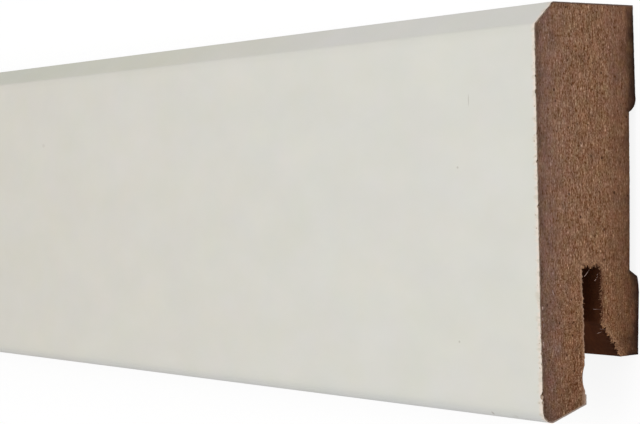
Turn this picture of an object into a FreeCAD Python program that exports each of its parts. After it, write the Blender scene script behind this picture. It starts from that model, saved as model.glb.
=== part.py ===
"""Skirting board length: a moulded MDF bar wrapped in a white finish foil, sold by the full length.

The board lies on its back, as it rests unheld on a level floor.
Row frame, millimetres: +X along the length, +Y towards the bevelled top edge, +Z out of the white face.
The origin is at the middle of the length and of the height, on the plane of the two back pads.
Heights below are measured up from the floor edge and depths back from the white face,
as they are when the board is fixed to a wall.
"""

import math
import os

import FreeCAD, Part

Vector = FreeCAD.Vector

# Overall size
board_length = 2400.0
board_height = 58.0
board_thickness = 19.0

# White finish foil, glued round the visible faces
foil_thickness = 0.2
foil_return = 1.4  # how far the foil turns up behind the toe

# Bevelled top edge, with the bar's arrises softened under the foil
bevel_depth = 3.5
bevel_height = 3.2
bevel_top_arris = 0.3
bevel_front_arris = 0.6

# Toe of the front leg, which meets the floor
toe_arris = 1.7
toe_flat = 0.2
toe_underside_rise = 2.0

# Front leg, slot for the fixing clips and rear leg
front_leg_thickness = 8.2
slot_width = 3.4
slot_top_height = 21.3
slot_corner_radius = 0.6
rear_leg_end_height = 8.2

# Flared mouth that leads a clip's tongue into the slot
mouth_widening = 3.8
mouth_rise = 5.2

# Shallow cove in the back of the front leg, above the foil's return
cove_bottom_height = 3.9
cove_opening = 3.6
cove_depth = 0.45

# Relief milled into the back between the two pads
relief_depth = 1.5
relief_bottom_height = 20.35
relief_top_height = 42.8
upper_pad_rounding = 2.3  # height of the round edge between the upper pad and the relief's floor
lower_pad_chamfer = 0.85  # height of the chamfer at the relief's floor
lower_pad_shoulder = 0.22  # how far the chamfer's outer edge stays in front of the lower pad's plane
lower_pad_easing = 2.1  # height over which the pad then eases into that edge

# How far a cutter's profile reaches past the faces that it opens through
overcut = 5.0

length_direction = Vector(1, 0, 0)


def at(height, depth):
    """Point of the section at the left end, from its height above the floor edge and depth from the face."""
    return Vector(-board_length / 2, height - board_height / 2, board_thickness - depth)


def line(start, end):
    return Part.LineSegment(start, end).toShape()


def arc(start, middle, end):
    return Part.Arc(start, middle, end).toShape()


def closed_face(edges):
    return Part.Face(Part.Wire(edges))


def polygon_face(corners):
    return Part.Face(Part.makePolygon(corners + corners[:1]))


def rounded_path(corners, radii):
    """Edges through the corners, where each radius above 0 becomes an arc tangent to both sides."""
    edges = []
    pen = corners[0]
    for before, corner, after, radius in zip(corners, corners[1:], corners[2:], radii):
        if radius == 0:
            edges.append(line(pen, corner))
            pen = corner
            continue
        towards_before = (before - corner).normalize()
        towards_after = (after - corner).normalize()
        half_angle = towards_before.getAngle(towards_after) / 2
        tangent_length = radius / math.tan(half_angle)
        arc_start = corner + towards_before * tangent_length
        arc_end = corner + towards_after * tangent_length
        bisector = (towards_before + towards_after).normalize()
        arc_middle = corner + bisector * (radius / math.sin(half_angle) - radius)
        edges.append(line(pen, arc_start))
        edges.append(arc(arc_start, arc_middle, arc_end))
        pen = arc_end
    edges.append(line(pen, corners[-1]))
    return edges


def inset_corners(corners, distance):
    """The same path moved sideways into the bar by the distance."""
    normals = [
        length_direction.cross((end - start).normalize())
        for start, end in zip(corners, corners[1:])
    ]
    inset = [corners[0] + normals[0] * distance]
    for corner, normal_before, normal_after in zip(corners[1:], normals, normals[1:]):
        mitre = (normal_before + normal_after) * (1 / (1 + normal_before.dot(normal_after)))
        inset.append(corner + mitre * distance)
    inset.append(corners[-1] + normals[-1] * distance)
    return inset


def wrapped_path(inset):
    """Path of the foil's outer side (inset 0) or of its glued side (inset by its thickness).

    It starts flush with the back pads, runs over the top edge and down the face, and ends behind the toe.
    """
    toe_back_depth = front_leg_thickness + foil_thickness
    corners = [
        at(board_height, board_thickness),
        at(board_height, bevel_depth),
        at(board_height - bevel_height, 0),
        at(0, 0),
        at(0, foil_thickness + toe_arris + toe_flat),
        at(toe_underside_rise, toe_back_depth),
        at(toe_underside_rise + foil_return, toe_back_depth),
    ]
    buildup = foil_thickness - inset
    radii = [bevel_top_arris + buildup, bevel_front_arris + buildup, toe_arris + buildup, 0, 0]
    return rounded_path(inset_corners(corners, inset), radii)


def first_point(path):
    return path[0].valueAt(path[0].FirstParameter)


def last_point(path):
    return path[-1].valueAt(path[-1].LastParameter)


def foil_section():
    outside = wrapped_path(0)
    glued_side = wrapped_path(foil_thickness)
    top_end = line(first_point(glued_side), first_point(outside))
    toe_end = line(last_point(outside), last_point(glued_side))
    return closed_face([top_end] + outside + [toe_end] + glued_side)


def bar_section():
    """Section of the bar under the foil, before anything is milled out of its back."""
    glued_side = wrapped_path(foil_thickness)
    top_end = first_point(glued_side)
    toe_end = last_point(glued_side)
    bottom_back_corner = at(toe_underside_rise + foil_return, board_thickness)
    return closed_face(
        glued_side + [line(toe_end, bottom_back_corner), line(bottom_back_corner, top_end)]
    )


def rebate_cutter():
    """Room behind the front leg and under the rear leg, for the clips' feet and thin cables."""
    return polygon_face(
        [
            at(-overcut, front_leg_thickness),
            at(rear_leg_end_height, front_leg_thickness),
            at(rear_leg_end_height, board_thickness + overcut),
            at(-overcut, board_thickness + overcut),
        ]
    )


def slot_cutter():
    """Upright slot between the legs, with softly rounded top corners."""
    slot_back = front_leg_thickness + slot_width
    corners = [
        at(0, front_leg_thickness),
        at(slot_top_height, front_leg_thickness),
        at(slot_top_height, slot_back),
        at(0, slot_back),
    ]
    sides = rounded_path(corners, [slot_corner_radius, slot_corner_radius])
    return closed_face(sides + [line(corners[-1], corners[0])])


def mouth_cutter():
    """Flare of the slot's rear wall, widest at the end of the rear leg."""
    slot_back = front_leg_thickness + slot_width
    slope = mouth_widening / mouth_rise
    return polygon_face(
        [
            at(rear_leg_end_height + mouth_rise, slot_back),
            at(rear_leg_end_height - overcut, slot_back),
            at(rear_leg_end_height - overcut, slot_back + mouth_widening + slope * overcut),
        ]
    )


def cove_cutter():
    """Shallow round cove in the back of the front leg."""
    bottom = at(cove_bottom_height, front_leg_thickness)
    middle = at(cove_bottom_height + cove_opening / 2, front_leg_thickness - cove_depth)
    top = at(cove_bottom_height + cove_opening, front_leg_thickness)
    return closed_face([arc(bottom, middle, top), line(top, bottom)])


def eased_edge(pad_height, end_height, drop):
    """Arc that leaves a pad's back tangentially and lies deeper by the drop at its other end."""
    run = abs(end_height - pad_height)
    radius = (run**2 + drop**2) / (2 * drop)
    half_sweep = math.atan2(drop, run)
    direction = 1 if end_height > pad_height else -1
    middle_height = pad_height + direction * radius * math.sin(half_sweep)
    middle_depth = board_thickness - radius * (1 - math.cos(half_sweep))
    start = at(pad_height, board_thickness)
    end = at(end_height, board_thickness - drop)
    return arc(start, at(middle_height, middle_depth), end)


def relief_cutter():
    """Flat-bottomed relief, with a round edge to the upper pad and an eased chamfer to the lower one."""
    relief_floor = board_thickness - relief_depth
    upper_pad_edge = relief_top_height + upper_pad_rounding
    shoulder_height = relief_bottom_height - lower_pad_chamfer
    lower_pad_edge = shoulder_height - lower_pad_easing
    shoulder = at(shoulder_height, board_thickness - lower_pad_shoulder)
    floor_bottom = at(relief_bottom_height, relief_floor)
    floor_top = at(relief_top_height, relief_floor)
    lower_outside = at(lower_pad_edge, board_thickness + overcut)
    upper_outside = at(upper_pad_edge, board_thickness + overcut)
    return closed_face(
        [
            line(lower_outside, at(lower_pad_edge, board_thickness)),
            eased_edge(lower_pad_edge, shoulder_height, lower_pad_shoulder),
            line(shoulder, floor_bottom),
            line(floor_bottom, floor_top),
            eased_edge(upper_pad_edge, relief_top_height, relief_depth),
            line(at(upper_pad_edge, board_thickness), upper_outside),
            line(upper_outside, lower_outside),
        ]
    )


def full_length(section):
    """Section drawn out along the whole board as one clean solid."""
    solid = section.extrude(length_direction * board_length).removeSplitter().Solids[0]
    if solid.Volume < 0:
        solid.reverse()
    return solid


def build_core():
    section = bar_section()
    for cutter in (rebate_cutter, slot_cutter, mouth_cutter, cove_cutter, relief_cutter):
        section = section.cut(cutter())
    return full_length(section)


def build_foil():
    return full_length(foil_section())


def main():
    os.makedirs("parts", exist_ok=True)
    nodes = {"mdf_core": build_core(), "white_foil": build_foil()}
    for name, solid in nodes.items():
        solid.exportStep("parts/" + name + ".step")
        print(name, "valid", solid.isValid(), "volume cm3", round(solid.Volume / 1000, 2))


main()
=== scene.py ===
import math
import random

import bpy
import numpy as np
from mathutils import Matrix, Vector, noise
from mathutils.geometry import delaunay_2d_cdt


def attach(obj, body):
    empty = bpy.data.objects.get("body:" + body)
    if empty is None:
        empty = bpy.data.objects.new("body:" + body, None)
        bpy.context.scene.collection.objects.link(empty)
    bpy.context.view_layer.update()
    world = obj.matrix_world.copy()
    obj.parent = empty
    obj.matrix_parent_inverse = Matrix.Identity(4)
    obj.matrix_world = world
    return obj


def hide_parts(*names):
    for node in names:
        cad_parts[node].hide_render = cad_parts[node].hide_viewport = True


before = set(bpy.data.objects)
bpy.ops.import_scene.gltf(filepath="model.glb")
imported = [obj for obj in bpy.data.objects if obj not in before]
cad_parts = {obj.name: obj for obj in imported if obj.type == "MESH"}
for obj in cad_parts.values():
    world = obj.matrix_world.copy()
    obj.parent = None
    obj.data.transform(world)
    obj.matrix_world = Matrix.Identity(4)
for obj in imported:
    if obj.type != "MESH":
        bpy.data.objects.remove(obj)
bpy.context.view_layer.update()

MM = 0.001

# ---- section of the board, millimetres: depth back from the white face, height above the floor edge

BOARD_HEIGHT = 58.0
BOARD_THICKNESS = 19.0
HALF_LENGTH = 1200.0
FOIL = 0.2

BEVEL_DEPTH = 3.5
BEVEL_HEIGHT = 3.2
BEVEL_TOP_ARRIS = 0.3
BEVEL_FRONT_ARRIS = 0.6
TOE_ARRIS = 1.7
TOE_FLAT = 0.2
TOE_UNDERSIDE_RISE = 2.0
FOIL_RETURN = 1.4
FRONT_LEG = 8.2
SLOT_BACK = 11.6
SLOT_TOP = 21.3
SLOT_RADIUS = 0.6
REAR_LEG_END = 8.2
MOUTH_WIDENING = 3.8
MOUTH_RISE = 5.2
COVE_BOTTOM = 3.9
COVE_OPENING = 3.6
COVE_DEPTH = 0.45
RELIEF_DEPTH = 1.5
RELIEF_BOTTOM = 20.35
RELIEF_TOP = 42.8
UPPER_PAD_ROUNDING = 2.3
LOWER_PAD_CHAMFER = 0.85
LOWER_PAD_SHOULDER = 0.22
LOWER_PAD_EASING = 2.1

ARC_STEP = math.radians(7)
END_DEPTH = 6.0  # length of board that each detailed end piece stands for


def unit(v):
    return v / np.linalg.norm(v)


def fillet(before, corner, after, radius):
    """Points of the arc that rounds a corner."""
    a = unit(before - corner)
    b = unit(after - corner)
    half = math.acos(float(np.clip(a @ b, -1, 1))) / 2
    tangent = radius / math.tan(half)
    centre = corner + unit(a + b) * radius / math.sin(half)
    start = corner + a * tangent - centre
    end = corner + b * tangent - centre
    sweep = math.atan2(start[0] * end[1] - start[1] * end[0], start @ end)
    steps = max(2, round(abs(sweep) / ARC_STEP))
    points = []
    for i in range(steps + 1):
        t = sweep * i / steps
        c, s = math.cos(t), math.sin(t)
        points.append(centre + np.array([c * start[0] - s * start[1], s * start[0] + c * start[1]]))
    return points


def bulge(start, end, height, side):
    """Points of a shallow arc between two points, end points left out."""
    chord = end - start
    length = np.linalg.norm(chord)
    radius = (length**2 / 4 + height**2) / (2 * height)
    normal = side * np.array([-chord[1], chord[0]]) / length
    centre = (start + end) / 2 + normal * (height - radius)
    first = start - centre
    last = end - centre
    sweep = math.atan2(first[0] * last[1] - first[1] * last[0], first @ last)
    steps = max(4, round(abs(sweep) / ARC_STEP))
    points = []
    for i in range(1, steps):
        t = sweep * i / steps
        c, s = math.cos(t), math.sin(t)
        points.append(centre + np.array([c * first[0] - s * first[1], s * first[0] + c * first[1]]))
    return points


def wrapped_path(inset):
    """Foil's outer side (inset 0) or glued side (inset FOIL), from the top edge round to behind the toe."""
    toe_back = FRONT_LEG + FOIL
    corners = [
        np.array(p, float)
        for p in [
            (BOARD_THICKNESS, BOARD_HEIGHT),
            (BEVEL_DEPTH, BOARD_HEIGHT),
            (0, BOARD_HEIGHT - BEVEL_HEIGHT),
            (0, 0),
            (FOIL + TOE_ARRIS + TOE_FLAT, 0),
            (toe_back, TOE_UNDERSIDE_RISE),
            (toe_back, TOE_UNDERSIDE_RISE + FOIL_RETURN),
        ]
    ]
    normals = []
    for a, b in zip(corners, corners[1:]):
        d = unit(b - a)
        normals.append(np.array([-d[1], d[0]]))
    moved = [corners[0] + normals[0] * inset]
    for corner, n1, n2 in zip(corners[1:], normals, normals[1:]):
        moved.append(corner + (n1 + n2) / (1 + n1 @ n2) * inset)
    moved.append(corners[-1] + normals[-1] * inset)
    rest = FOIL - inset
    radii = [BEVEL_TOP_ARRIS + rest, BEVEL_FRONT_ARRIS + rest, TOE_ARRIS + rest, 0, 0]
    points = [moved[0]]
    for before, corner, after, radius in zip(moved, moved[1:], moved[2:], radii):
        if radius:
            points += fillet(before, corner, after, radius)
        else:
            points.append(corner)
    points.append(moved[-1])
    return points


def eased_edge(pad, end):
    """Points between a pad's edge and the end of the arc that leaves the pad tangentially."""
    run = abs(end[1] - pad[1])
    drop = pad[0] - end[0]
    radius = (run**2 + drop**2) / (2 * drop)
    sweep = 2 * math.atan2(drop, run)
    side = math.copysign(1, end[1] - pad[1])
    steps = max(3, round(sweep / ARC_STEP))
    turns = [sweep * i / steps for i in range(1, steps)]
    return [pad + radius * np.array([math.cos(t) - 1, side * math.sin(t)]) for t in turns]


def core_outline():
    """Closed outline of the bar, going the same way round as the foil's path."""
    cove_bottom = np.array([FRONT_LEG, COVE_BOTTOM])
    cove_top = cove_bottom + (0, COVE_OPENING)
    slot_front = np.array([FRONT_LEG, SLOT_TOP])
    slot_back = np.array([SLOT_BACK, SLOT_TOP])
    mouth_top = np.array([SLOT_BACK, REAR_LEG_END + MOUTH_RISE])
    mouth_bottom = np.array([SLOT_BACK + MOUTH_WIDENING, REAR_LEG_END])
    shoulder = np.array([BOARD_THICKNESS - LOWER_PAD_SHOULDER, RELIEF_BOTTOM - LOWER_PAD_CHAMFER])
    lower_pad = np.array([BOARD_THICKNESS, shoulder[1] - LOWER_PAD_EASING])
    relief_bottom = np.array([BOARD_THICKNESS - RELIEF_DEPTH, RELIEF_BOTTOM])
    relief_top = np.array([BOARD_THICKNESS - RELIEF_DEPTH, RELIEF_TOP])
    upper_pad = np.array([BOARD_THICKNESS, RELIEF_TOP + UPPER_PAD_ROUNDING])
    points = wrapped_path(FOIL)
    points += [cove_bottom] + bulge(cove_bottom, cove_top, COVE_DEPTH, 1) + [cove_top]
    points += fillet(cove_top, slot_front, slot_back, SLOT_RADIUS)
    points += fillet(slot_front, slot_back, mouth_top, SLOT_RADIUS)
    points += [mouth_top, mouth_bottom, np.array([BOARD_THICKNESS, REAR_LEG_END])]
    points += [lower_pad] + eased_edge(lower_pad, shoulder) + [shoulder, relief_bottom, relief_top]
    points += list(reversed(eased_edge(upper_pad, relief_top)))
    return points + [upper_pad]


def in_slot(a, b):
    """True where the outline's piece from a to b is a wall of the slot or of its flared mouth."""
    u, v = (a + b) / 2
    return FRONT_LEG - 0.01 <= u < SLOT_BACK + MOUTH_WIDENING and REAR_LEG_END + 0.01 < v <= SLOT_TOP + 0.01


def densify(points, step):
    """The same polyline with extra points, none further apart than step."""
    out = []
    for a, b in zip(points, points[1:]):
        n = max(1, math.ceil(np.linalg.norm(b - a) / step))
        out += [a + (b - a) * i / n for i in range(n)]
    return out + [points[-1]]


def row(u, v, x):
    """Row-frame point in metres from depth, height and place along the length in millimetres."""
    return Vector((x * MM, (v - BOARD_HEIGHT / 2) * MM, (BOARD_THICKNESS - u) * MM))


# ---- node helpers

def srgb(r, g, b):
    def lin(c):
        c /= 255
        return c / 12.92 if c <= 0.04045 else ((c + 0.055) / 1.055) ** 2.4
    return (lin(r), lin(g), lin(b), 1.0)


class Nodes:
    """Short calls for building one material's nodes."""

    def __init__(self, name):
        self.mat = bpy.data.materials.new(name)
        self.mat.use_nodes = True
        self.tree = self.mat.node_tree
        self.bsdf = self.tree.nodes["Principled BSDF"]
        self.out = self.tree.nodes["Material Output"]

    def new(self, kind, **values):
        node = self.tree.nodes.new(kind)
        for key, value in values.items():
            setattr(node, key, value)
        return node

    def link(self, a, b):
        self.tree.links.new(a, b)

    def put(self, socket, value):
        if isinstance(value, bpy.types.NodeSocket):
            self.link(value, socket)
        else:
            socket.default_value = value

    def math(self, op, a, b=None, clamp=False):
        n = self.new("ShaderNodeMath", operation=op, use_clamp=clamp)
        self.put(n.inputs[0], a)
        if b is not None:
            self.put(n.inputs[1], b)
        return n.outputs[0]

    def mm(self):
        """Object coordinates in millimetres."""
        coords = self.new("ShaderNodeTexCoord").outputs["Object"]
        n = self.new("ShaderNodeVectorMath", operation="MULTIPLY")
        self.link(coords, n.inputs[0])
        n.inputs[1].default_value = (1000, 1000, 1000)
        return n.outputs[0]

    def split(self, vector):
        n = self.new("ShaderNodeSeparateXYZ")
        self.link(vector, n.inputs[0])
        return n.outputs[0], n.outputs[1], n.outputs[2]

    def stretch(self, vector, scale, shift=(0, 0, 0)):
        n = self.new("ShaderNodeVectorMath", operation="MULTIPLY_ADD")
        self.link(vector, n.inputs[0])
        n.inputs[1].default_value = scale
        n.inputs[2].default_value = shift
        return n.outputs[0]

    def compressed(self, x, y, z, limit, extra):
        """Place whose y runs faster below the limit, so that a noise is finer there."""
        below = self.math("MINIMUM", self.math("SUBTRACT", y, limit), 0.0)
        n = self.new("ShaderNodeCombineXYZ")
        self.link(x, n.inputs[0])
        self.link(self.math("ADD", y, self.math("MULTIPLY", below, extra)), n.inputs[1])
        self.link(z, n.inputs[2])
        return n.outputs[0]

    def noise(self, vector, detail=2.0, roughness=0.5, distortion=0.0):
        n = self.new("ShaderNodeTexNoise")
        self.link(vector, n.inputs["Vector"])
        n.inputs["Scale"].default_value = 1.0
        n.inputs["Detail"].default_value = detail
        n.inputs["Roughness"].default_value = roughness
        n.inputs["Distortion"].default_value = distortion
        return n.outputs["Fac"]

    def cells(self, across, up):
        """Distance to the nearest of scattered points in a plane, and a random value for each point."""
        place = self.new("ShaderNodeCombineXYZ")
        self.link(across, place.inputs[0])
        self.link(up, place.inputs[1])
        n = self.new("ShaderNodeTexVoronoi", voronoi_dimensions="2D")
        self.link(place.outputs[0], n.inputs["Vector"])
        n.inputs["Scale"].default_value = 1.0
        return n.outputs["Distance"], self.split(n.outputs["Color"])[0]

    def remap(self, value, lo, hi, to_lo=0.0, to_hi=1.0, smooth=False):
        n = self.new("ShaderNodeMapRange", interpolation_type="SMOOTHSTEP" if smooth else "LINEAR")
        self.put(n.inputs["Value"], value)
        for key, v in zip(("From Min", "From Max", "To Min", "To Max"), (lo, hi, to_lo, to_hi)):
            n.inputs[key].default_value = v
        return n.outputs["Result"]

    def ramp(self, value, stops):
        n = self.new("ShaderNodeValToRGB")
        self.put(n.inputs[0], value)
        elements = n.color_ramp.elements
        while len(elements) < len(stops):
            elements.new(0.5)
        for e, (pos, colour) in zip(elements, stops):
            e.position = pos
            e.color = colour
        return n.outputs["Color"]

    def mix(self, factor, a, b, blend="MIX"):
        n = self.new("ShaderNodeMix", data_type="RGBA", blend_type=blend)
        self.put(n.inputs[0], factor)
        self.put(n.inputs[6], a)
        self.put(n.inputs[7], b)
        return n.outputs[2]

    def gain(self, colour, factor):
        """Colour times a grey factor."""
        n = self.new("ShaderNodeVectorMath", operation="SCALE")
        self.link(colour, n.inputs[0])
        self.put(n.inputs["Scale"], factor)
        return n.outputs[0]

    def gain_by(self, colour, factors):
        """Colour times one factor per channel."""
        n = self.new("ShaderNodeVectorMath", operation="MULTIPLY")
        self.link(colour, n.inputs[0])
        n.inputs[1].default_value = factors
        return n.outputs[0]

    def varied(self, colour, amount, factors):
        """Colour times 1 + amount * factor, with one factor per channel."""
        by = self.new("ShaderNodeVectorMath", operation="MULTIPLY_ADD")
        self.link(amount, by.inputs[0])
        by.inputs[1].default_value = factors
        by.inputs[2].default_value = (1, 1, 1)
        n = self.new("ShaderNodeVectorMath", operation="MULTIPLY")
        self.link(colour, n.inputs[0])
        self.link(by.outputs[0], n.inputs[1])
        return n.outputs[0]

    def attribute(self, name):
        return self.new("ShaderNodeAttribute", attribute_name=name).outputs["Fac"]

    def bump(self, height, strength, distance):
        n = self.new("ShaderNodeBump")
        n.inputs["Strength"].default_value = strength
        n.inputs["Distance"].default_value = distance
        self.link(height, n.inputs["Height"])
        self.link(n.outputs[0], self.bsdf.inputs["Normal"])


LIGHT_ON_END = 0.58  # share of full light that reaches an upright end face under this scene's lamps


def mdf(r, g, b):
    """Albedo of an MDF tone that should look like this sRGB colour on the upright sawn end."""
    lr, lg, lb, _ = srgb(r, g, b)
    return (lr / LIGHT_ON_END, lg / LIGHT_ON_END, lb / LIGHT_ON_END, 1.0)


def sawn_mdf():
    """Sawn end: layers from the dense outer skins to the coarse middle, torn fibres and dark pores, with painted
    shade along the back edge, on the upper pad and at the slot's rear wall, and a painted highlight along the
    slot's other walls.
    """
    n = Nodes("mdf_sawn")
    p = n.mm()
    x, y, z = n.split(p)
    wobble = n.noise(n.stretch(p, (0.2, 0.25, 0.5)), detail=2)
    depth = n.math("SUBTRACT", BOARD_THICKNESS, z)
    depth = n.math("ADD", depth, n.remap(wobble, 0.3, 0.7, -0.9, 0.9))
    # The darkest stops towards the back are partly the back skin's own colour and partly painted shade of the
    # cut's back edge.
    layers = n.ramp(
        n.math("DIVIDE", depth, BOARD_THICKNESS),
        [
            (0.015, mdf(96, 73, 61)),
            (0.05, mdf(110, 83, 70)),
            (0.12, mdf(118, 89, 76)),
            (0.20, mdf(124, 93, 75)),
            (0.30, mdf(125, 93, 73)),
            (0.50, mdf(125, 92, 70)),
            (0.66, mdf(123, 90, 68)),
            (0.77, mdf(115, 83, 63)),
            (0.86, mdf(104, 74, 55)),
            (0.93, mdf(88, 62, 46)),
            (0.985, mdf(62, 42, 32)),
        ],
    )
    height = n.remap(y, -27.0, 1.0)
    tint_middle = n.ramp(
        height,
        [
            (0.0, (0.82, 0.74, 0.64, 1)),
            (0.3, (0.89, 0.81, 0.71, 1)),
            (0.6, (0.92, 0.87, 0.79, 1)),
            (1.0, (1.0, 1.0, 1.0, 1)),
        ],
    )
    tint_front = n.ramp(height, [(0.0, (0.87, 0.84, 0.81, 1)), (0.3, (0.92, 0.92, 0.94, 1)), (1.0, (1, 1, 1, 1))])
    tint = n.mix(n.remap(depth, 1.5, 6.0), tint_front, tint_middle)
    layers = n.mix(1.0, layers, tint, "MULTIPLY")
    layers = n.gain(layers, n.remap(y, -24.5, -28.0, 1.0, 0.76))
    layers = n.gain(layers, n.remap(n.math("SUBTRACT", y, depth), 11.0, 24.0, 1.0, 0.92))
    top_back = n.math("MULTIPLY", n.remap(y, 12.0, 19.0), n.remap(depth, 12.5, 14.5))
    top_back = n.math("MULTIPLY", top_back, n.remap(depth, 17.6, 16.6))
    layers = n.mix(top_back, layers, n.gain_by(layers, (1.07, 1.09, 1.20)))
    corner = n.math("MULTIPLY", n.remap(y, 19.0, 26.0), n.remap(depth, 14.5, 16.5))
    corner = n.math("MULTIPLY", corner, n.remap(depth, 18.8, 18.0))
    layers = n.mix(corner, layers, n.gain(layers, 1.18))
    near_top = n.math("MULTIPLY", n.remap(y, 25.5, 27.0), n.remap(depth, 16.6, 17.4))
    layers = n.mix(near_top, layers, n.gain(layers, 1.60))
    pad_band = n.math("MULTIPLY", n.remap(y, 17.0, 19.0), n.remap(y, 25.5, 24.0))
    pad_shade = n.math("MULTIPLY", pad_band, n.remap(z, 1.8, 1.1))
    layers = n.mix(pad_shade, layers, n.gain(layers, 0.60))
    patches = n.noise(n.stretch(p, (0.1, 0.35, 0.6), (5, 1, 9)), detail=3, roughness=0.6)
    colour = n.gain(layers, n.remap(patches, 0.3, 0.7, 0.84, 1.16))
    warm = n.noise(n.stretch(p, (0.1, 0.5, 0.9), (15, 21, 4)), detail=2)
    colour = n.mix(n.remap(warm, 0.45, 0.7, 0.0, 0.3), colour, mdf(122, 90, 60))
    yellow = n.noise(n.stretch(p, (0.2, 0.45, 0.55), (3, 9, 27)), detail=2, roughness=0.6)
    colour = n.varied(colour, n.remap(yellow, 0.25, 0.75, -1.0, 1.0), (0.0, 0.0, -0.09))
    red = n.noise(n.stretch(p, (0.2, 0.50, 0.65), (19, 2, 11)), detail=2, roughness=0.6)
    colour = n.varied(colour, n.remap(red, 0.25, 0.75, -1.0, 1.0), (0.07, -0.02, 0.0))

    skin = n.math(
        "MULTIPLY",
        n.remap(depth, 0.5, 7.5, 0.5, 1.08, smooth=True),
        n.remap(depth, 12.2, 15.5, 1.0, 0.62, smooth=True),
    )
    skin = n.math("MULTIPLY", skin, n.remap(depth, 16.0, 18.5, 1.0, 0.45, smooth=True))
    skin = n.math("MULTIPLY", skin, n.remap(y, -3.0, -8.0, 1.0, 1.2))
    q = n.compressed(x, y, z, -9.0, 0.5)
    fine = n.noise(n.stretch(q, (0.6, 2.9, 5.4)), detail=2, roughness=0.55, distortion=0.3)
    strokes = n.noise(n.stretch(q, (0.6, 1.25, 4.8), (8, 5, 3)), detail=2, roughness=0.6, distortion=0.6)
    long_strokes = n.noise(n.stretch(p, (0.6, 0.4, 3.8), (1, 17, 6)), detail=1, distortion=0.6)
    grain = n.math("ADD", n.remap(fine, 0.25, 0.75, -0.8, 0.8), n.remap(strokes, 0.25, 0.75, -0.85, 0.85))
    grain = n.math("ADD", grain, n.remap(long_strokes, 0.25, 0.75, -0.35, 0.35))
    cubed = n.math("MULTIPLY", grain, n.math("MULTIPLY", grain, grain))
    grain = n.math("ADD", n.math("MULTIPLY", grain, 0.66), n.math("MULTIPLY", cubed, 0.74))
    grain = n.math("MAXIMUM", n.math("MULTIPLY", grain, skin), -0.62)
    colour = n.varied(colour, grain, (0.78, 1.04, 1.31))

    light = n.noise(n.stretch(p, (0.8, 1.6, 4.6), (31, 7, 2)), detail=1.5, roughness=0.5, distortion=0.6)
    light_mask = n.math("MULTIPLY", n.remap(light, 0.62, 0.72, smooth=True), skin)
    colour = n.mix(n.math("MULTIPLY", light_mask, 0.42), colour, mdf(168, 137, 112))
    dark = n.noise(n.stretch(p, (0.8, 2.1, 3.4), (3, 41, 12)), detail=1.5, roughness=0.5, distortion=0.6)
    dark_mask = n.math("MULTIPLY", n.remap(dark, 0.36, 0.27, smooth=True), skin)
    colour = n.mix(n.math("MULTIPLY", dark_mask, 0.8), colour, mdf(66, 38, 20))
    away, size = n.cells(n.math("MULTIPLY", z, 0.45), n.math("MULTIPLY", y, 0.32))
    reach = n.remap(size, 0.35, 1.0, 0.0, 0.095)
    pores = n.math("MULTIPLY", n.math("SUBTRACT", reach, away), 22.0, clamp=True)
    colour = n.mix(n.math("MULTIPLY", pores, 0.9), colour, mdf(52, 28, 16))

    toe = n.math("MULTIPLY", n.remap(z, BOARD_THICKNESS - 7.5, BOARD_THICKNESS - 8.2), n.remap(y, -24.2, -25.4))
    colour = n.mix(n.math("MULTIPLY", toe, 0.75), colour, mdf(164, 138, 120))
    torn = n.ramp(fine, [(0.41, mdf(88, 55, 34)), (0.50, mdf(124, 88, 60)), (0.59, mdf(172, 134, 98))])
    colour = n.mix(n.math("MULTIPLY", n.attribute("burr"), 0.7), colour, torn)
    # Painted highlight along the slot's front wall, its mouth and its top edge.
    colour = n.mix(n.math("MULTIPLY", n.attribute("lit"), 0.65), colour, mdf(172, 142, 120))
    # Painted shade along the slot's rear wall, broken into ragged dark columns by the fine noise.
    shade_breakup = n.remap(fine, 0.35, 0.65, 1.25, 0.75)
    shade = n.math("MULTIPLY", n.attribute("shade"), shade_breakup, clamp=True)
    colour = n.mix(shade, colour, mdf(68, 36, 21))
    # Painted shade: a dark band along the cut's back edge, strongest on the pads.
    colour = n.mix(n.math("MULTIPLY", n.attribute("rim"), 0.92), colour, mdf(29, 14, 8))
    n.link(colour, n.bsdf.inputs["Base Color"])
    n.bsdf.inputs["Roughness"].default_value = 0.9
    n.bsdf.inputs["Specular IOR Level"].default_value = 0.15
    n.bump(fine, 0.35, 0.00012)
    return n.mat


def milled_mdf():
    n = Nodes("mdf_milled")
    p = n.mm()
    broad = n.noise(n.stretch(p, (0.01, 0.12, 0.12)), detail=3, roughness=0.55)
    streaks = n.noise(n.stretch(p, (0.03, 2.4, 2.4), (7, 3, 1)), detail=2, roughness=0.6)
    grain = n.noise(n.stretch(p, (1.2, 3.0, 3.0), (2, 8, 5)), detail=2, roughness=0.6)
    base = n.ramp(broad, [(0.3, mdf(101, 74, 57)), (0.7, mdf(108, 80, 62))])
    colour = n.gain(base, n.remap(streaks, 0.25, 0.75, 0.93, 1.07))
    colour = n.gain(colour, n.remap(grain, 0.25, 0.75, 0.8, 1.2))
    flecks = n.noise(n.stretch(p, (0.5, 2.2, 2.2), (17, 23, 29)), detail=1)
    colour = n.mix(n.remap(flecks, 0.66, 0.78, 0, 0.5, smooth=True), colour, mdf(160, 128, 104))
    n.link(colour, n.bsdf.inputs["Base Color"])
    n.bsdf.inputs["Roughness"].default_value = 0.78
    n.bsdf.inputs["Specular IOR Level"].default_value = 0.25
    n.bump(n.math("ADD", streaks, grain), 0.3, 0.0001)
    return n.mat


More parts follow.
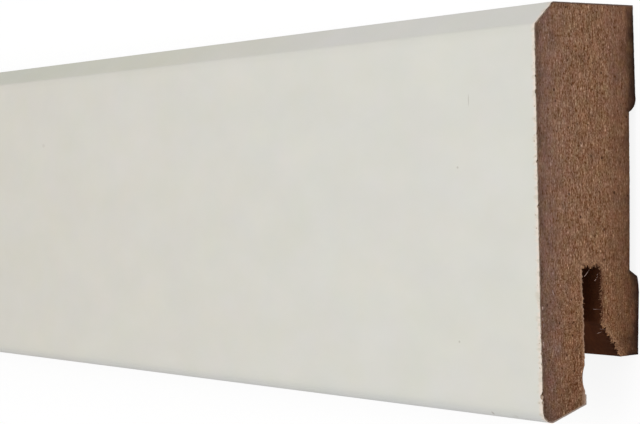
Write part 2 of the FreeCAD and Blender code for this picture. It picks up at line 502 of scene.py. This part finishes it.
def slot_mdf():
    """Walls of the slot and its mouth: painted shade, much darker than the milled faces and darkest near the sawn
    end.
    """
    n = Nodes("mdf_slot")
    p = n.mm()
    x, y, z = n.split(p)
    grain = n.noise(n.stretch(p, (1.6, 0.9, 0.9), (2, 8, 5)), detail=2, roughness=0.5)
    colour = n.ramp(grain, [(0.3, mdf(58, 30, 17)), (0.7, mdf(67, 37, 20))])
    # The slot's darkness is painted shade, lighter further in and darker low in the mouth.
    inside = n.remap(n.math("SUBTRACT", HALF_LENGTH, n.math("ABSOLUTE", x)), 0.3, 4.0, 0.72, 2.0)
    low = n.remap(y, -18.0, -11.0, 1.3, 1.0, smooth=True)
    mouth = n.remap(y, -20.5, -15.5, 0.58, 1.0, smooth=True)
    colour = n.gain(colour, n.math("MULTIPLY", inside, n.math("MULTIPLY", low, mouth)))
    n.link(colour, n.bsdf.inputs["Base Color"])
    n.bsdf.inputs["Roughness"].default_value = 0.9
    n.bsdf.inputs["Specular IOR Level"].default_value = 0.1
    n.bump(grain, 0.2, 0.0001)
    return n.mat


def glued_mdf():
    """Bar's surface under the foil, which only shows where the foil's edge is chipped."""
    n = Nodes("mdf_glued")
    grain = n.noise(n.stretch(n.mm(), (2.5, 2.5, 2.5)), detail=2, roughness=0.6)
    n.link(n.ramp(grain, [(0.3, srgb(84, 62, 38)), (0.7, srgb(120, 92, 62))]), n.bsdf.inputs["Base Color"])
    n.bsdf.inputs["Roughness"].default_value = 0.9
    n.bsdf.inputs["Specular IOR Level"].default_value = 0.1
    return n.mat


FACE_MARKS = [
    # back from the right end, height, half length, half height and strength of a small mark on the face
    (14.1, 45.05, 0.07, 0.85, 0.35),
    (16.8, 35.5, 0.22, 0.16, 0.30),
    (17.2, 10.4, 0.20, 0.16, 0.30),
    (142.0, 42.1, 0.50, 0.35, 0.12),
    (10.8, 0.60, 0.25, 0.22, 0.38),
    (6.0, 0.52, 0.45, 0.15, 0.15),
]


def foil_white():
    n = Nodes("foil_white")
    p = n.mm()
    x, y, z = n.split(p)
    to_cut = n.math("SUBTRACT", HALF_LENGTH, n.math("ABSOLUTE", x))
    broad = n.noise(n.stretch(p, (0.012, 0.03, 0.03)), detail=2, roughness=0.5)
    cloud = n.noise(n.stretch(p, (0.09, 0.14, 0.14), (4, 2, 8)), detail=3, roughness=0.55)
    inward = n.remap(n.math("ADD", to_cut, n.remap(broad, 0.3, 0.7, -15.0, 15.0)), 40.0, 150.0)
    colour = n.ramp(inward, [(0.0, srgb(218, 217, 209)), (0.5, srgb(218, 216, 207)), (1.0, srgb(218, 215, 205))])
    colour = n.gain(colour, n.remap(cloud, 0.3, 0.7, 0.980, 1.020))
    pinkish = n.noise(n.stretch(p, (0.12, 0.13, 0.13), (11, 5, 2)), detail=3, roughness=0.6)
    colour = n.varied(colour, n.remap(pinkish, 0.25, 0.75, -1.0, 1.0), (0.014, 0.0, 0.006))
    yellowish = n.noise(n.stretch(p, (0.11, 0.14, 0.14), (2, 19, 7)), detail=3, roughness=0.6)
    colour = n.varied(colour, n.remap(yellowish, 0.25, 0.75, -1.0, 1.0), (0.0, 0.0, -0.024))
    on_bevel = n.math("MULTIPLY", n.remap(z, 18.9, 18.6), n.remap(y, 24.5, 25.0))
    bevel_tone = n.ramp(
        inward,
        [(0.0, (1.01, 1.005, 1.03, 1)), (0.5, (0.99, 0.99, 0.95, 1)), (1.0, (0.94, 0.97, 0.94, 1))],
    )
    # Painted shade on the face just below the crease with the bevel, so the arris looks softer.
    crease_shade = n.gain(colour, n.remap(y, 24.5, 25.8, 1.0, 0.955))
    colour = n.mix(on_bevel, crease_shade, n.mix(1.0, colour, bevel_tone, "MULTIPLY"))
    # Painted light and shade on the rounded toe: a lighter, bluer strip at the very bottom edge and a darker band
    # just above it.
    toe_light_and_shade = n.ramp(
        n.remap(y, 0.3 - BOARD_HEIGHT / 2, 3.0 - BOARD_HEIGHT / 2),
        [
            (0.0, (1.065, 1.08, 1.14, 1)),
            (0.11, (1.01, 1.025, 1.065, 1)),
            (0.26, (0.953, 0.967, 0.99, 1)),
            (0.48, (0.972, 0.977, 0.98, 1)),
            (1.0, (1.0, 1.0, 1.0, 1)),
        ],
    )
    colour = n.mix(1.0, colour, toe_light_and_shade, "MULTIPLY")
    for back, height, half_length, half_height, strength in FACE_MARKS:
        across = n.math("DIVIDE", n.math("SUBTRACT", x, HALF_LENGTH - back), half_length)
        up = n.math("DIVIDE", n.math("SUBTRACT", y, height - BOARD_HEIGHT / 2), half_height)
        away = n.math("ADD", n.math("MULTIPLY", across, across), n.math("MULTIPLY", up, up))
        colour = n.mix(n.remap(away, 0.4, 1.6, strength, 0.0, smooth=True), colour, srgb(128, 112, 92))
    spread = n.noise(n.stretch(p, (0.5, 1.3, 1.3), (6, 14, 3)), detail=2, roughness=0.6)
    margin = n.remap(n.math("ADD", to_cut, n.remap(spread, 0.3, 0.7, -0.4, 0.4)), 0.9, 0.1, smooth=True)
    frayed = n.ramp(spread, [(0.38, srgb(212, 203, 188)), (0.52, srgb(238, 221, 207))])
    colour = n.mix(n.math("MULTIPLY", margin, 0.85), colour, frayed)
    specks = n.noise(n.stretch(p, (1.8, 2.2, 2.2), (13, 4, 19)), detail=1)
    soiled = n.math("MULTIPLY", n.remap(specks, 0.66, 0.74, smooth=True), n.remap(to_cut, 0.9, 0.2, smooth=True))
    colour = n.mix(n.math("MULTIPLY", soiled, 0.7), colour, srgb(150, 128, 100))
    n.link(colour, n.bsdf.inputs["Base Color"])
    peel = n.noise(n.stretch(p, (1.1, 1.1, 1.1), (9, 9, 2)), detail=2, roughness=0.5)
    n.link(n.remap(cloud, 0.3, 0.7, 0.42, 0.50), n.bsdf.inputs["Roughness"])
    n.bsdf.inputs["Specular IOR Level"].default_value = 0.25
    n.bump(peel, 0.10, 0.00005)
    return n.mat


def foil_cut():
    """Cut edge of the foil, smeared with brown dust, and darker along the top edge with painted shade."""
    n = Nodes("foil_cut")
    p = n.mm()
    x, y, z = n.split(p)
    v = n.noise(n.stretch(p, (1.5, 1.2, 2.5)), detail=2, roughness=0.6)
    colour = n.ramp(v, [(0.35, mdf(100, 82, 70)), (0.65, mdf(150, 132, 116))])
    # Painted shade: the cut edge turns darker along the top edge.
    top = n.remap(y, BOARD_HEIGHT / 2 - 0.6, BOARD_HEIGHT / 2 - 0.2, smooth=True)
    colour = n.mix(n.math("MULTIPLY", top, 0.95), colour, mdf(92, 72, 62))
    behind = n.remap(z, BOARD_THICKNESS - 1.0, BOARD_THICKNESS - 2.0, smooth=True)
    low = n.remap(y, 3.5 - BOARD_HEIGHT / 2, 3.0 - BOARD_HEIGHT / 2, smooth=True)
    colour = n.mix(n.math("MULTIPLY", n.math("MULTIPLY", behind, low), 0.95), colour, mdf(146, 130, 120))
    n.link(colour, n.bsdf.inputs["Base Color"])
    n.bsdf.inputs["Roughness"].default_value = 0.8
    n.bsdf.inputs["Specular IOR Level"].default_value = 0.2
    return n.mat


def fibre_material(name, low, high):
    n = Nodes(name)
    v = n.noise(n.stretch(n.mm(), (0.9, 0.9, 0.9)), detail=1)
    colour = n.ramp(v, [(0.3, low), (0.7, high)])
    n.link(colour, n.bsdf.inputs["Base Color"])
    n.bsdf.inputs["Roughness"].default_value = 0.75
    n.bsdf.inputs["Specular IOR Level"].default_value = 0.2
    return n.mat


# ---- pieces

def add_mesh(name, verts, faces, materials, indices=None, smooth=35):
    mesh = bpy.data.meshes.new(name)
    mesh.from_pydata(verts, [], faces)
    for m in materials:
        mesh.materials.append(m)
    if indices is not None:
        mesh.polygons.foreach_set("material_index", indices)
    mesh.validate()
    mesh.polygons.foreach_set("use_smooth", [True] * len(mesh.polygons))
    mesh.set_sharp_from_angle(angle=math.radians(smooth))
    mesh.update()
    obj = bpy.data.objects.new(name, mesh)
    bpy.context.scene.collection.objects.link(obj)
    return obj


def make_bar():
    """Middle of the bar, between the two detailed ends."""
    outline = core_outline()
    outline = densify(outline + outline[:1], 2.0)[:-1]
    count = len(outline)
    x_end = HALF_LENGTH - END_DEPTH
    stations = [-x_end, -400.0, 400.0, x_end]
    verts = [row(u, v, x) for x in stations for u, v in outline]
    faces, indices = [], []
    for k in range(len(stations) - 1):
        for i in range(count):
            j = (i + 1) % count
            faces.append((k * count + i, (k + 1) * count + i, (k + 1) * count + j, k * count + j))
            indices.append(1 if in_slot(outline[i], outline[j]) else 0)
    faces.append(tuple(range(count)))
    faces.append(tuple(reversed(range((len(stations) - 1) * count, len(stations) * count))))
    indices += [0, 0]
    return add_mesh("mdf_bar", verts, faces, [MILLED, SLOT_WALL], indices)


def points_inside(points, outline):
    """Even-odd test of many points against the closed outline."""
    px, py = points[:, 0], points[:, 1]
    inside = np.zeros(len(points), bool)
    for (x0, y0), (x1, y1) in zip(outline, np.roll(outline, -1, axis=0)):
        if y0 == y1:
            continue
        crosses = (py >= min(y0, y1)) & (py < max(y0, y1))
        at = x0 + (py - y0) * (x1 - x0) / (y1 - y0)
        inside ^= crosses & (px < at)
    return inside


def distance_to(points, outline, mask):
    """Distance of each point to the masked segments of the closed outline."""
    best = np.full(len(points), 1e9)
    nxt = np.roll(outline, -1, axis=0)
    for a, b, use in zip(outline, nxt, mask):
        if not use:
            continue
        d = b - a
        t = np.clip(((points - a) @ d) / (d @ d), 0, 1)
        best = np.minimum(best, np.linalg.norm(points - (a + t[:, None] * d), axis=1))
    return best


def ragged(u, v, seed, scale):
    return noise.noise(Vector((u / scale, v / scale, seed)))


def end_ring():
    """The bar's outline with close points, closest round the slot, where the edge is torn."""
    outline = core_outline()
    ring = []
    for a, b in zip(outline, outline[1:] + outline[:1]):
        ring += densify([a, b], 0.13 if in_slot(a, b) else 0.28)[:-1]
    return np.array(ring)


def wall_of(u, v):
    """Name of the slot's wall that a point of its outline lies on."""
    if v > SLOT_TOP - 0.5:
        return "top"
    if u < FRONT_LEG + 0.5:
        return "front"
    if v > REAR_LEG_END + MOUTH_RISE:
        return "rear"
    return "mouth"


def tear_at(u, v, seed):
    """How far the torn edge of the slot sticks out over the outline at this point, in millimetres."""
    fine = ragged(u, v, seed + 0.3, 0.32)
    coarse = ragged(u, v, seed + 5.1, 0.9)
    wall = wall_of(u, v)
    if wall == "top":
        return -0.02 + 0.60 * fine + 0.30 * coarse
    if wall == "front":
        low = min(1.0, max(0.0, (17.0 - v) / 3.0))
        return -0.12 + 0.13 * low + 0.20 * fine + 0.12 * coarse
    if wall == "rear":
        return -0.10 + 0.40 * fine + 0.25 * coarse
    return 0.12 + 0.70 * fine + 0.50 * coarse


def rim_strength(v):
    """How strong the painted shade along the cut's back edge is at this height: dark on the pads, hardly in the
    relief.
    """
    if RELIEF_BOTTOM < v < RELIEF_TOP:
        return 0.22
    return float(np.interp(v, [55.5, 56.5], [1.0, 0.6]))


# height on the right end's back edge, and how far the uneven saw cut stands out there, in millimetres
CUT_WANDER = [
    (8.2, -0.25), (17.0, 0.15), (19.3, 0.12), (20.4, -0.17),
    (25.0, 0.05), (33.0, 0.35), (42.8, 0.55), (45.2, 0.20), (58.0, 0.04),
]


def cut_wander(u, v, side):
    """How far the saw cut stands out at this point: only towards the back of the right end."""
    if side < 0 or u < 12.0:
        return 0.0
    heights, offsets = zip(*CUT_WANDER)
    return float(np.interp(v, heights, offsets)) * ((u - 12.0) / 7.0) ** 1.5


# how strongly and how far from each wall of the slot, in millimetres, the cut is torn (TORN), carries a painted
# highlight (PALE) or carries painted shade (DARK)
TORN = {"top": (1.0, 1.1), "mouth": (1.0, 1.1)}
PALE = {"front": (1.0, 0.34), "mouth": (0.5, 0.6), "top": (0.35, 1.5)}
DARK = {"rear": (1.0, 0.80)}


def make_sawn_end(name, side, seed):
    """Detailed end of the bar: torn fibres on the cut and a ragged edge round the slot."""
    rng = np.random.default_rng(seed)
    ring = end_ring()
    count = len(ring)
    nxt = np.roll(ring, -1, axis=0)
    prev = np.roll(ring, 1, axis=0)
    slot_segments = np.array([in_slot(a, b) for a, b in zip(ring, nxt)])
    slot_points = slot_segments | np.roll(slot_segments, 1)
    glued_segments = np.arange(count) < len(densify(wrapped_path(FOIL), 0.28)) - 1
    tangents = nxt - prev
    tangents /= np.linalg.norm(tangents, axis=1)[:, None]
    outward = np.stack([tangents[:, 1], -tangents[:, 0]], 1)
    tear = np.zeros(count)
    for i, (u, v) in enumerate(ring):
        if slot_points[i]:
            tear[i] = tear_at(u, v, seed)
        elif u > BOARD_THICKNESS - 2.2 and v < BOARD_HEIGHT - 0.5:
            tear[i] = -0.02 + 0.03 * ragged(u, v, seed + 9.7, 0.6)
    middles = (ring + nxt) / 2
    back_segments = (middles[:, 0] > BOARD_THICKNESS - 2.0) & (middles[:, 1] < BOARD_HEIGHT - 2 * FOIL)

    depths = [END_DEPTH, 3.0, 1.6, 0.9, 0.5, 0.22, 0.0]
    walls = [wall_of(u, v) if slot_points[i] else "" for i, (u, v) in enumerate(ring)]
    verts, burr, lit, shade, rim = [], [], [], [], []
    for k, depth in enumerate(depths):
        fade = max(0.0, 1 - depth / 1.6) ** 1.5
        for i, (u, v) in enumerate(ring):
            moved = ring[i] + outward[i] * tear[i] * fade
            drop = 0.0
            if k == len(depths) - 1:
                drop = 0.03 + 0.05 * abs(ragged(u, v, seed + 2.2, 0.5))
            out = cut_wander(u, v, side) * (1 - depth / END_DEPTH)
            verts.append(row(moved[0], moved[1], side * (HALF_LENGTH - depth - drop + out)))
            burr.append(fade if walls[i] in TORN else 0.0)
            lit.append(fade if walls[i] == "front" else 0.0)
            shade.append(fade if walls[i] in DARK else 0.0)
            rim.append(fade * rim_strength(v) if back_segments[i] else 0.0)
    faces, indices = [], []
    for k in range(len(depths) - 1):
        for i in range(count):
            j = (i + 1) % count
            quad = (k * count + i, (k + 1) * count + i, (k + 1) * count + j, k * count + j)
            faces.append(quad if side > 0 else tuple(reversed(quad)))
            indices.append(3 if glued_segments[i] else int(slot_segments[i]))
    cap = tuple(range(count))
    faces.append(cap if side > 0 else tuple(reversed(cap)))
    indices.append(0)

    du, dv = 0.21, 0.32
    us = np.arange(0.3, BOARD_THICKNESS, du)
    vs = np.arange(0.3, BOARD_HEIGHT, dv)
    grid = np.array([(u, v + (i % 2) * dv / 2) for i, u in enumerate(us) for v in vs])
    grid += rng.uniform(-0.3, 0.3, grid.shape) * (du, dv)
    last = len(depths) - 1
    rim_ring = np.array([ring[i] + outward[i] * tear[i] for i in range(count)])
    grid = grid[points_inside(grid, rim_ring)]
    every = np.ones(count, bool)
    grid = grid[distance_to(grid, rim_ring, every) > 0.13]
    coords = [Vector(p) for p in rim_ring] + [Vector(p) for p in grid]
    boundary = [(i, (i + 1) % count) for i in range(count)]
    flat, _, tris, origin, _, _ = delaunay_2d_cdt(coords, boundary, [], 1, 1e-7)
    wall_segments = np.array([walls[i] if slot_segments[i] else "" for i in range(count)])

    def nearness(effect):
        """Full at the named walls of the slot, falling to 0 at their reach, for each point of the grid."""
        near = np.zeros(len(grid))
        for wall, (strength, reach) in effect.items():
            away = distance_to(grid, rim_ring, wall_segments == wall)
            near = np.maximum(near, strength * (1 - away / reach))
        return near

    torn, pale, dark = nearness(TORN), nearness(PALE), nearness(DARK)
    to_back = distance_to(grid, rim_ring, back_segments)
    ids = {}
    base = last * count
    for index, sources in enumerate(origin):
        first = min(sources) if sources else -1
        if 0 <= first < count:
            ids[index] = base + first
            continue
        u, v = flat[index]
        g = first - count
        middle = max(0.0, 1 - abs(u - 9.0) / 8.5)
        relief = noise.noise(Vector((u / 0.32, v / 0.75, seed)))
        coarse = noise.noise(Vector((u / 1.4, v / 2.6, seed + 4.0)))
        pit = noise.noise(Vector((u / 0.55, v / 1.1, seed + 8.0)))
        drop = 0.06 + 0.05 * (0.4 + middle) * relief + 0.03 * coarse
        drop += 0.35 * max(0.0, pit - 0.48) * (0.3 + middle)
        ids[index] = len(verts)
        verts.append(row(u, v, side * (HALF_LENGTH - max(0.005, drop) + cut_wander(u, v, side))))
        burr.append(torn[g] * float(np.clip((u - 7.0) / 1.2, 0, 1)))
        lit.append(pale[g])
        shade.append(dark[g] ** 1.8)
        # painted shade within 0.88 mm of the cut's back edge
        rim.append(max(0.0, 1 - to_back[g] / 0.88) * rim_strength(v))
    centres = np.array([np.mean([flat[i] for i in t], axis=0) for t in tris])
    keep = points_inside(centres, rim_ring)
    for t, ok in zip(tris, keep):
        if not ok:
            continue
        a, b, c = t
        cross = (flat[b] - flat[a]).cross(flat[c] - flat[a])
        order = (a, b, c) if (cross < 0) == (side > 0) else (a, c, b)
        faces.append(tuple(ids[i] for i in order))
        indices.append(2)
    obj = add_mesh(name, verts, faces, [MILLED, SLOT_WALL, SAWN, GLUED], indices, smooth=50)
    for key, values in (("burr", burr), ("lit", lit), ("shade", shade), ("rim", rim)):
        layer = obj.data.attributes.new(key, "FLOAT", "POINT")
        layer.data.foreach_set("value", values)
    return obj


FOIL_CHIPS = [
    # end, height, half width and depth of a chip in the foil's cut edge on the white face
    (1, 3.75, 0.40, 0.42),
    (1, 45.6, 0.30, 0.15),
    (-1, 31.0, 0.40, 0.30),
]
FOIL_PROUD = 0.13  # how far the foil's edge stands over the right end's cut near the toe


def make_foil():
    """Foil wrap with a slightly ragged edge at both sawn ends."""
    outer = densify(wrapped_path(0), 0.12)
    lengths = np.cumsum([0.0] + [float(np.linalg.norm(b - a)) for a, b in zip(outer, outer[1:])])
    glued = np.array(densify(wrapped_path(FOIL), 0.12))
    glued_lengths = np.cumsum([0.0] + [float(np.linalg.norm(b - a)) for a, b in zip(glued, glued[1:])])
    wanted = lengths * glued_lengths[-1] / lengths[-1]
    inner = np.stack([np.interp(wanted, glued_lengths, glued[:, k]) for k in (0, 1)], 1)
    count = len(outer)

    def chip(i, end):
        u, v = outer[i]
        jag = 0.02 + 0.05 * noise.noise(Vector((lengths[i] / 0.35, end * 3.0, 0.5)))
        tooth = max(0.0, noise.noise(Vector((lengths[i] / 0.5, end * 5.0, 7.5))) - 0.45)
        bite = max(0.0, jag) + 0.8 * tooth
        for at_end, height, half_width, depth in FOIL_CHIPS:
            if at_end == end and u < 0.5:
                bite += depth * max(0.0, 1 - ((v - height) / half_width) ** 4)
        if end == 1 and u < 2.0:
            bite -= FOIL_PROUD * float(np.clip(min((14.0 - v) / 6.0, (v + 1.0) / 2.0), 0, 1))
        return bite

    chips = {end: [chip(i, end) for i in range(count)] for end in (-1, 1)}
    verts = []
    depths = [0.0, 0.25, 0.7, 2.0]
    stations = [(-1, d) for d in depths] + [(1, d) for d in reversed(depths)]
    for end, depth in stations:
        for layer in (outer, inner):
            for i in range(count):
                back = depth + chips[end][i] * (1 - depth / depths[-1])
                verts.append(row(layer[i][0], layer[i][1], end * (HALF_LENGTH - back)))
    faces, indices = [], []

    def at(station, layer, i):
        return (station * 2 + layer) * count + i

    for k in range(len(stations) - 1):
        for i in range(count - 1):
            faces.append((at(k, 0, i), at(k + 1, 0, i), at(k + 1, 0, i + 1), at(k, 0, i + 1)))
            faces.append((at(k, 1, i + 1), at(k + 1, 1, i + 1), at(k + 1, 1, i), at(k, 1, i)))
            indices += [0, 0]
        for i, flip in ((0, False), (count - 1, True)):
            quad = (at(k, 0, i), at(k, 1, i), at(k + 1, 1, i), at(k + 1, 0, i))
            faces.append(tuple(reversed(quad)) if flip else quad)
            indices.append(1)
    for k, flip in ((0, False), (len(stations) - 1, True)):
        for i in range(count - 1):
            quad = (at(k, 0, i), at(k, 0, i + 1), at(k, 1, i + 1), at(k, 1, i))
            faces.append(tuple(reversed(quad)) if flip else quad)
            indices.append(1)
    return add_mesh("foil_wrap", verts, faces, [FOIL_FACE, FOIL_EDGE], indices)


def tube(verts, faces, line, radius):
    """Adds one tapered four-sided tube along the line of points."""
    start = len(verts)
    last = len(line) - 1
    for k, p in enumerate(line):
        along = (line[min(k + 1, last)] - line[max(k - 1, 0)]).normalized()
        side = along.orthogonal().normalized()
        other = along.cross(side)
        taper = 1.0 - 0.75 * (k / last) ** 2
        for q in range(4):
            angle = math.pi / 2 * q
            offset = side * math.cos(angle) + other * math.sin(angle)
            verts.append(p + offset * radius * taper)
    for k in range(last):
        for q in range(4):
            r = (q + 1) % 4
            a = start + k * 4
            faces.append((a + q, a + r, a + 4 + r, a + 4 + q))
    faces.append(tuple(start + q for q in reversed(range(4))))
    faces.append(tuple(start + last * 4 + q for q in range(4)))


def hair(rng, u, v, x, direction, length, curl):
    """Bent line of a loose fibre, from its root on the sawn end."""
    points = []
    step = length / 5
    heading = direction.normalized()
    p = row(u, v, x)
    for _ in range(6):
        points.append(p.copy())
        wiggle = Vector((rng.uniform(-1, 1), rng.uniform(-1, 1), rng.uniform(-1, 1))) * curl
        heading = (heading + wiggle).normalized()
        p = p + heading * step * MM
    return points


def make_fuzz(name, side, seed):
    """Short strands torn out round the slot and its mouth."""
    rng = random.Random(seed)
    verts, faces = [], []
    mouth_top = REAR_LEG_END + MOUTH_RISE
    roots = [(FRONT_LEG, v, 1, 0.6) for v in np.arange(8.5, SLOT_TOP, 0.11)]
    roots += [(FRONT_LEG, v, 1, 1.3) for v in (12.2, 12.3, 12.45, 12.6, 12.8, 12.95, 14.2, 14.35, 14.5, 14.7)]
    roots += [(SLOT_BACK, v, -1, 1.0) for v in np.arange(mouth_top, SLOT_TOP, 0.05)]
    roots += [
        (SLOT_BACK + MOUTH_WIDENING * (mouth_top - v) / MOUTH_RISE, v, -1, 1.0)
        for v in np.arange(REAR_LEG_END + 0.5, mouth_top, 0.05)
    ]
    for u, v, way, size in roots:
        if rng.random() < 0.25:
            continue
        lean = Vector((-rng.uniform(0.0, 0.9) * side, rng.uniform(-1.0, 0.5), -way * rng.uniform(-0.1, 0.9)))
        length = rng.uniform(0.15, 0.5) * size
        root = (u - way * rng.uniform(0.0, 0.45), v + rng.uniform(-0.08, 0.08))
        strand = hair(rng, *root, side * (HALF_LENGTH - 0.05), lean, length, 0.25)
        tube(verts, faces, strand, rng.uniform(0.03, 0.06) * MM)
    for u in np.arange(FRONT_LEG - 0.1, SLOT_BACK + 0.1, 0.06):
        lean = Vector((-rng.uniform(0.0, 0.6) * side, -1, rng.uniform(-0.4, 0.4)))
        root = (u, SLOT_TOP + rng.uniform(0.15, 0.55))
        strand = hair(rng, *root, side * (HALF_LENGTH - 0.05), lean, rng.uniform(0.2, 0.7), 0.2)
        tube(verts, faces, strand, rng.uniform(0.03, 0.06) * MM)
    return add_mesh(name, verts, faces, [FUZZ], smooth=180)


LOOSE_HAIRS = [
    # depth and height of both ends of a pale loose hair on the right end, and its thickness
    ((8.42, 19.88), (9.48, 20.79), 0.038),
    ((10.42, 19.20), (11.12, 19.82), 0.028),
    ((10.85, 19.92), (11.18, 20.25), 0.024),
    ((10.02, 15.22), (11.54, 15.10), 0.024),
    ((10.76, 11.77), (11.65, 11.99), 0.022),
    ((11.27, 12.37), (12.24, 12.24), 0.022),
    ((2.31, 18.24), (2.70, 17.46), 0.070),
    ((0.42, 14.60), (0.50, 14.15), 0.090),
    ((0.58, 13.75), (0.62, 13.15), 0.095),
    ((0.45, 16.10), (0.52, 15.60), 0.080),
    ((0.41, 11.28), (0.60, 10.40), 0.060),
]


def make_hairs(name, side, seed):
    """The few pale loose hairs in the slot and on the cut."""
    rng = random.Random(seed)
    verts, faces = [], []
    for start, end, radius in LOOSE_HAIRS:
        a = row(*start, side * (HALF_LENGTH + 0.02))
        b = row(*end, side * (HALF_LENGTH - 0.02))
        length = (b - a).length
        points = []
        for k in range(6):
            sway = Vector((0, rng.uniform(-1, 1), rng.uniform(-1, 1))) * length * 0.02
            points.append(a.lerp(b, k / 5) + sway)
        tube(verts, faces, points, radius * MM)
    return add_mesh(name, verts, faces, [PALE_FIBRE], smooth=180)


MILLED = milled_mdf()
SLOT_WALL = slot_mdf()
GLUED = glued_mdf()
SAWN = sawn_mdf()
FOIL_FACE = foil_white()
FOIL_EDGE = foil_cut()
FUZZ = fibre_material("fuzz_fibre", mdf(94, 60, 40), mdf(158, 122, 94))
PALE_FIBRE = fibre_material("pale_fibre", mdf(118, 96, 90), mdf(186, 160, 150))

bar = make_bar()
ends = [make_sawn_end("sawn_end_right", 1, 11), make_sawn_end("sawn_end_left", -1, 23)]
fibres = [make_fuzz("slot_fuzz_right", 1, 5), make_fuzz("slot_fuzz_left", -1, 6)]
fibres += [make_hairs("loose_hairs_right", 1, 8), make_hairs("loose_hairs_left", -1, 9)]
foil = make_foil()

for piece in [bar] + ends + fibres:
    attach(piece, "root")
for piece in [bar] + ends:
    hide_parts("mdf_core")
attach(foil, "root")
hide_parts("white_foil")


# ---- floor, light and camera

def make_floor():
    mesh = bpy.data.meshes.new("floor")
    s = 12.0
    mesh.from_pydata([(-s, -s, 0), (s, -s, 0), (s, s, 0), (-s, s, 0)], [], [(0, 1, 2, 3)])
    obj = bpy.data.objects.new("floor", mesh)
    bpy.context.scene.collection.objects.link(obj)
    n = Nodes("floor_white")
    n.tree.nodes.remove(n.bsdf)
    shade = n.new("ShaderNodeBsdfDiffuse")
    shade.inputs["Color"].default_value = (0.62, 0.62, 0.62, 1)
    seen_shade = n.new("ShaderNodeBsdfDiffuse")
    seen_shade.inputs["Color"].default_value = (1, 1, 1, 1)
    glow = n.new("ShaderNodeEmission")
    glow.inputs["Color"].default_value = (1, 1, 1, 1)
    glow.inputs["Strength"].default_value = 1.03
    seen = n.new("ShaderNodeMixShader")
    seen.inputs[0].default_value = 0.86
    n.link(seen_shade.outputs[0], seen.inputs[1])
    n.link(glow.outputs[0], seen.inputs[2])
    path = n.new("ShaderNodeLightPath")
    pick = n.new("ShaderNodeMixShader")
    n.link(path.outputs["Is Camera Ray"], pick.inputs[0])
    n.link(shade.outputs[0], pick.inputs[1])
    n.link(seen.outputs[0], pick.inputs[2])
    n.link(pick.outputs[0], n.out.inputs["Surface"])
    obj.data.materials.append(n.mat)


def make_world():
    world = bpy.data.worlds.new("studio")
    bpy.context.scene.world = world
    world.use_nodes = True
    tree = world.node_tree
    tree.nodes.clear()
    path = tree.nodes.new("ShaderNodeLightPath")
    seen = tree.nodes.new("ShaderNodeMath")
    seen.operation = "MAXIMUM"
    tree.links.new(path.outputs["Is Camera Ray"], seen.inputs[0])
    tree.links.new(path.outputs["Is Glossy Ray"], seen.inputs[1])
    clear = tree.nodes.new("ShaderNodeMath")
    clear.operation = "MAXIMUM"
    tree.links.new(seen.outputs[0], clear.inputs[0])
    tree.links.new(path.outputs["Is Transmission Ray"], clear.inputs[1])
    strength = tree.nodes.new("ShaderNodeMapRange")
    tree.links.new(clear.outputs[0], strength.inputs["Value"])
    strength.inputs["To Min"].default_value = 0.40
    strength.inputs["To Max"].default_value = 1.0
    back = tree.nodes.new("ShaderNodeBackground")
    back.inputs["Color"].default_value = (1, 1, 1, 1)
    tree.links.new(strength.outputs[0], back.inputs["Strength"])
    out = tree.nodes.new("ShaderNodeOutputWorld")
    tree.links.new(back.outputs[0], out.inputs["Surface"])


def make_lights():
    sun = bpy.data.lights.new("overhead", "SUN")
    sun.energy = 1.02
    sun.angle = math.radians(50)
    sun.color = (1.0, 0.99, 0.975)
    obj = bpy.data.objects.new("overhead", sun)
    obj.rotation_euler = Vector((-0.02, -0.05, 0.98)).to_track_quat("Z", "Y").to_euler()
    bpy.context.scene.collection.objects.link(obj)

    lamp = bpy.data.lights.new("near_end", "AREA")
    lamp.shape = "DISK"
    lamp.size = 0.35
    lamp.energy = 0.40
    obj = bpy.data.objects.new("near_end", lamp)
    obj.location = (1.27, 0.09, 0.36)
    obj.rotation_euler = (Vector(obj.location) - Vector((1.17, 0, 0))).to_track_quat("Z", "Y").to_euler()
    bpy.context.scene.collection.objects.link(obj)


def make_camera():
    """Camera from the photograph's perspective, fitted to the board's straight edges."""
    data = bpy.data.cameras.new("photo_camera")
    data.sensor_width = 36.0
    data.lens = 108.08
    data.clip_start = 0.01
    data.clip_end = 100
    obj = bpy.data.objects.new("photo_camera", data)
    right = Vector((0.59005, -0.022306, -0.80708)).normalized()
    back = Vector((0.80739, 0.016359, 0.58982)).normalized()
    up = back.cross(right).normalized()
    right = up.cross(back)
    rotation = Matrix((right, up, back)).transposed()
    obj.matrix_world = Matrix.Translation((1.39446, 0.00506, 0.19798)) @ rotation.to_4x4()
    bpy.context.scene.collection.objects.link(obj)
    bpy.context.scene.camera = obj


make_floor()
make_world()
make_lights()
make_camera()
bpy.context.scene.view_settings.view_transform = "Standard"

bpy.context.view_layer.update()
